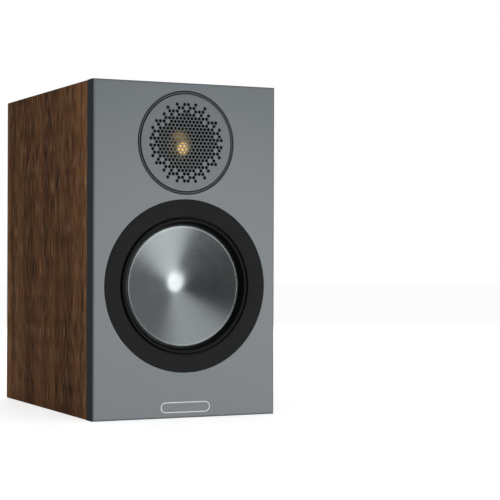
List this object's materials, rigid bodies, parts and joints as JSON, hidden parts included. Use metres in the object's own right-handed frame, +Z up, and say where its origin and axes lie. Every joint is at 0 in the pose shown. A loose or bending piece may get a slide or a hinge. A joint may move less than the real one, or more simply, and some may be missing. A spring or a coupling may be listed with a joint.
{
  "type": "bookshelf speaker",
  "caption": "Two-way bookshelf loudspeaker: walnut-look box, grey baffle, metal-cone woofer, dome tweeter behind a pierced plate, rear port and screw terminals.",
  "frame": {"origin": "middle of the cabinet's underside, halfway between the baffle's face and the rear panel's face", "axes": "+Z up, the baffle faces -Y, the terminals face +Y, +X to the right of someone who faces the baffle"},
  "size_m": [0.16, 0.2557, 0.272],
  "materials": {
    "baffle": "satin",
    "walnut": "matte",
    "badge": "satin",
    "black_plastic": "matte",
    "rubber": "matte",
    "foam": "matte",
    "cone_metal": "satin",
    "cast_metal": "matte",
    "steel": "satin",
    "ferrite": "matte",
    "copper": "satin",
    "former": "satin",
    "spider": "matte",
    "grille": "satin",
    "gold_dome": "polished",
    "gold_plate": "polished",
    "nut_red": "gloss",
    "nut_black": "gloss",
    "board": "satin",
    "capacitor": "satin",
    "wadding": "matte",
    "lead": "satin"
  },
  "bodies": {
    "cabinet": {"front_baffle": "baffle", "side_panel_left": "walnut", "side_panel_right": "walnut", "top_panel": "walnut", "bottom_panel": "walnut", "rear_panel": "walnut", "badge_plate": "badge", "woofer_trim_ring": "black_plastic", "woofer_tag_block": "black_plastic", "tweeter_trim_ring": "black_plastic", "tweeter_faceplate": "black_plastic", "tweeter_rear_cup": "black_plastic", "port_tube": "black_plastic", "terminal_plate": "black_plastic", "woofer_surround": "rubber", "tweeter_surround": "rubber", "woofer_gasket": "foam", "woofer_basket": "cast_metal", "woofer_top_plate": "steel", "woofer_back_plate": "steel", "tweeter_top_plate": "steel", "tweeter_back_plate": "steel", "woofer_screw_1": "steel", "woofer_screw_2": "steel", "woofer_screw_3": "steel", "woofer_screw_4": "steel", "tweeter_screw_1": "steel", "tweeter_screw_2": "steel", "tweeter_screw_3": "steel", "terminal_screw_1": "steel", "terminal_screw_2": "steel", "terminal_screw_3": "steel", "terminal_screw_4": "steel", "woofer_magnet": "ferrite", "tweeter_magnet": "ferrite", "grille_magnet_1": "ferrite", "grille_magnet_2": "ferrite", "grille_magnet_3": "ferrite", "grille_magnet_4": "ferrite", "woofer_inductor": "copper", "tweeter_inductor": "copper", "woofer_spider": "spider", "tweeter_grille": "grille", "terminal_post_black": "gold_plate", "terminal_post_red": "gold_plate", "crossover_board": "board", "woofer_capacitor": "capacitor", "tweeter_capacitor": "capacitor", "wadding": "wadding", "woofer_lead": "lead", "tweeter_lead": "lead"},
    "woofer_cone_assembly": {"woofer_cone": "cone_metal", "woofer_former": "former", "woofer_coil": "copper"},
    "tweeter_dome_assembly": {"tweeter_dome": "gold_dome", "tweeter_coil": "copper"},
    "washer_red": {"terminal_washer_red": "gold_plate"},
    "nut_red": {"terminal_nut_red": "nut_red"},
    "washer_black": {"terminal_washer_black": "gold_plate"},
    "nut_black": {"terminal_nut_black": "nut_black"}
  },
  "joints": [
    {"name": "woofer_stroke", "type": "slide", "parent": "cabinet", "child": "woofer_cone_assembly", "axis": [0, -1, 0], "range_m": [-0.004, 0.004], "stiffness_N_per_m": 1000, "deforming": ["woofer_surround", "woofer_spider"]},
    {"name": "tweeter_stroke", "type": "slide", "parent": "cabinet", "child": "tweeter_dome_assembly", "axis": [0, -1, 0], "range_m": [-0.0003, 0.0003], "stiffness_N_per_m": 8000, "deforming": ["tweeter_surround"]},
    {"name": "terminal_red_travel", "type": "slide", "parent": "cabinet", "child": "washer_red", "axis": [0, 1, 0], "range_m": [0, 0.006]},
    {"name": "terminal_red_turn", "type": "hinge", "parent": "washer_red", "child": "nut_red", "pos_m": [0.0095, 0.1165, 0.062], "axis": [0, 1, 0], "range_deg": [0, 2701]},
    {"name": "terminal_black_travel", "type": "slide", "parent": "cabinet", "child": "washer_black", "axis": [0, 1, 0], "range_m": [0, 0.006]},
    {"name": "terminal_black_turn", "type": "hinge", "parent": "washer_black", "child": "nut_black", "pos_m": [-0.0095, 0.1165, 0.062], "axis": [0, 1, 0], "range_deg": [0, 2701]}
  ],
  "couplings": [
    {"joint": "terminal_red_turn", "follows": "terminal_red_travel", "rad_per_m": 7854},
    {"joint": "terminal_black_turn", "follows": "terminal_black_travel", "rad_per_m": 7854}
  ]
}
